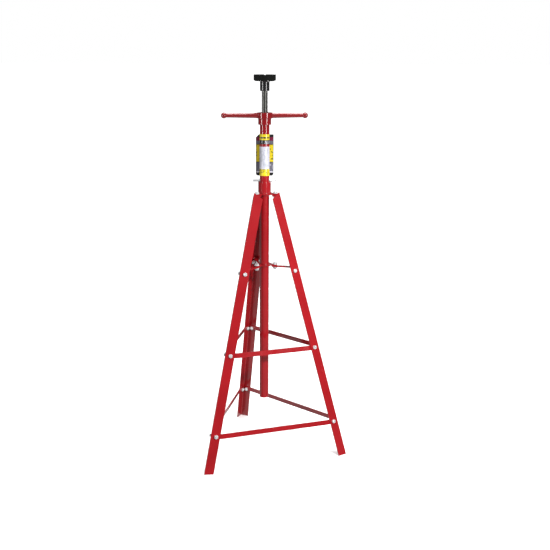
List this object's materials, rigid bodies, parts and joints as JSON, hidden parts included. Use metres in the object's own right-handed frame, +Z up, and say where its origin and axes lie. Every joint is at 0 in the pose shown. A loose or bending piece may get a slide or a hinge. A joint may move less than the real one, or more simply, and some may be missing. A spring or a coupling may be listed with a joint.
{
  "type": "high-reach tripod stand",
  "caption": "Tall tripod axle stand: braced angle-iron legs, a pin-locked sliding post, and a spin handle that raises a screw with a padded saddle.",
  "frame": {"origin": "on the floor, at the middle of the stand's plan; the post's axis is vertical at x = 0, y = -0.0849 m", "axes": "+Z up along the post; +Y towards the back leg; the front braces run along X"},
  "size_m": [0.6214, 0.5476, 1.5705],
  "materials": {
    "red_paint": "gloss red enamel",
    "zinc": "bright zinc-plated fasteners",
    "chrome": "bright plated",
    "screw_steel": "machined, lightly oiled",
    "bearing_steel": "ground and greased",
    "black_paint": "gloss black enamel",
    "pad_rubber": "moulded, matte",
    "sticker_paper": "coated and printed",
    "card": "coated and printed"
  },
  "bodies": {
    "stand": {"leg_left": "red_paint", "leg_right": "red_paint", "leg_back": "red_paint", "leg_tab_left": "red_paint", "leg_tab_right": "red_paint", "leg_tab_back": "red_paint", "head_bolt_left": "zinc", "head_bolt_right": "zinc", "head_bolt_back": "zinc", "guide_arm_left": "red_paint", "guide_arm_right": "red_paint", "guide_arm_back": "red_paint", "guide_bracket_left": "red_paint", "guide_bracket_right": "red_paint", "guide_bracket_back": "red_paint", "guide_bolt_left": "zinc", "guide_bolt_right": "zinc", "guide_bolt_back": "zinc", "guide_bracket_bolt_left_a": "zinc", "guide_bracket_bolt_left_b": "zinc", "guide_bracket_bolt_right_a": "zinc", "guide_bracket_bolt_right_b": "zinc", "guide_bracket_bolt_back_a": "zinc", "guide_bracket_bolt_back_b": "zinc", "brace_bolt_lower_left_a": "zinc", "brace_bolt_lower_left_b": "zinc", "brace_bolt_lower_right_a": "zinc", "brace_bolt_lower_right_b": "zinc", "brace_bolt_lower_back_a": "zinc", "brace_bolt_lower_back_b": "zinc", "brace_bolt_upper_left_a": "zinc", "brace_bolt_upper_left_b": "zinc", "brace_bolt_upper_right_a": "zinc", "brace_bolt_upper_right_b": "zinc", "brace_bolt_upper_back_a": "zinc", "brace_bolt_upper_back_b": "zinc", "brace_lower_front": "red_paint", "brace_lower_right": "red_paint", "brace_lower_left": "red_paint", "brace_upper_front": "red_paint", "brace_upper_right": "red_paint", "brace_upper_left": "red_paint", "head_plate": "red_paint", "guide_plate": "red_paint", "head_collar": "red_paint"},
    "post": {"post_tube": "red_paint", "post_sticker": "sticker_paper", "label_card": "card", "bearing_cup": "red_paint", "bearing_lower_race": "bearing_steel"},
    "ball_cage": {"bearing_ball_cage": "bearing_steel"},
    "handle": {"spin_handle": "red_paint", "bearing_upper_race": "bearing_steel"},
    "screw": {"lift_screw": "screw_steel", "screw_stop_ring": "screw_steel"},
    "saddle": {"saddle_socket": "black_paint", "saddle_pad": "pad_rubber"},
    "lock_pin": {"lock_pin": "chrome"},
    "pin_ring": {"pin_ring": "chrome"}
  },
  "joints": [
    {"name": "post_slide", "type": "slide", "parent": "stand", "child": "post", "axis": [0, 0, 1], "range_m": [0, 0.45]},
    {"name": "handle_turn", "type": "hinge", "parent": "post", "child": "handle", "pos_m": [0, -0.08489, 1.4134], "axis": [0, 0, 1], "range_deg": [-5400, 5868]},
    {"name": "ball_cage_turn", "type": "hinge", "parent": "post", "child": "ball_cage", "pos_m": [0, -0.08489, 1.3956], "axis": [0, 0, 1], "range_deg": [-2701, 2935]},
    {"name": "screw_lift", "type": "slide", "parent": "post", "child": "screw", "axis": [0, 0, 1], "range_m": [-0.0829, 0.0763]},
    {"name": "saddle_swivel", "type": "hinge", "parent": "screw", "child": "saddle", "pos_m": [0, -0.08489, 1.54], "axis": [0, 0, 1], "continuous": true},
    {"name": "pin_pull", "type": "slide", "parent": "post", "child": "lock_pin", "axis": [0.9455, -0.3256, 0], "range_m": [0, 0.072]},
    {"name": "pin_ring_swing", "type": "hinge", "parent": "lock_pin", "child": "pin_ring", "pos_m": [0.02553, -0.09367, 1.157], "axis": [0, 0, 1], "range_deg": [-75, 75]}
  ],
  "couplings": [
    {"joint": "screw_lift", "follows": "handle_turn", "m_per_rad": -0.00080851},
    {"joint": "ball_cage_turn", "follows": "handle_turn", "ratio": 0.5}
  ]
}
